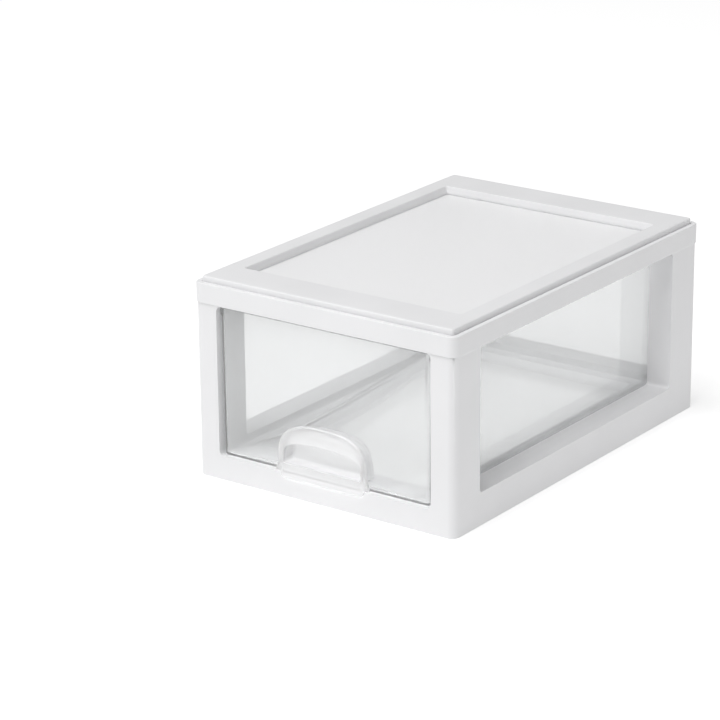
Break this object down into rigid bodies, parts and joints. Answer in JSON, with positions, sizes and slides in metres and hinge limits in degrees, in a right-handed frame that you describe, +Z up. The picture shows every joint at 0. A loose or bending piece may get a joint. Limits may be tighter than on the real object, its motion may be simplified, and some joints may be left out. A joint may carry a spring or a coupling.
{
  "type": "shoe box",
  "caption": "Stackable plastic shoe box: an open white frame with a clear front drawer that slides out by an arched finger pull, under a clip-on top with a frosted panel.",
  "frame": {"origin": "on the floor, under the centre of the overall box with the drawer shut", "axes": "+Z up, -Y out of the front, the way the drawer opens, +X to the right as seen from the front"},
  "size_m": [0.256, 0.3746, 0.1712],
  "materials": {
    "frame": "white moulded plastic, satin",
    "lid": "white moulded plastic, satin",
    "frosted_panel": "translucent plastic, fine frosted texture",
    "drawer": "clear moulded plastic, glossy"
  },
  "bodies": {
    "housing": {"foot_wall_front": "frame", "foot_wall_rear": "frame", "foot_wall_left": "frame", "foot_wall_right": "frame", "foot_corner_front_left": "frame", "foot_corner_front_right": "frame", "foot_corner_rear_left": "frame", "foot_corner_rear_right": "frame", "post_front_left": "frame", "post_front_right": "frame", "post_rear_left": "frame", "post_rear_right": "frame", "side_rail_left": "frame", "side_rail_right": "frame", "rear_rail": "frame", "front_sill": "frame", "floor_ledge_left": "frame", "floor_ledge_right": "frame", "floor_ledge_rear": "frame", "top_rail_left": "frame", "top_rail_right": "frame", "top_rail_front": "frame", "top_rail_rear": "frame", "lid_front": "lid", "lid_rear": "lid", "lid_left": "lid", "lid_right": "lid", "top_panel": "frosted_panel"},
    "drawer": {"drawer_floor": "drawer", "drawer_wall_left": "drawer", "drawer_wall_right": "drawer", "drawer_wall_rear": "drawer", "drawer_stop_left": "drawer", "drawer_stop_right": "drawer", "drawer_front": "drawer", "pull_hood": "drawer", "pull_cup": "drawer", "pull_lip": "drawer"}
  },
  "joints": [
    {"name": "drawer_slide", "type": "slide", "parent": "housing", "child": "drawer", "axis": [0, -1, 0], "range_m": [0, 0.3]}
  ]
}
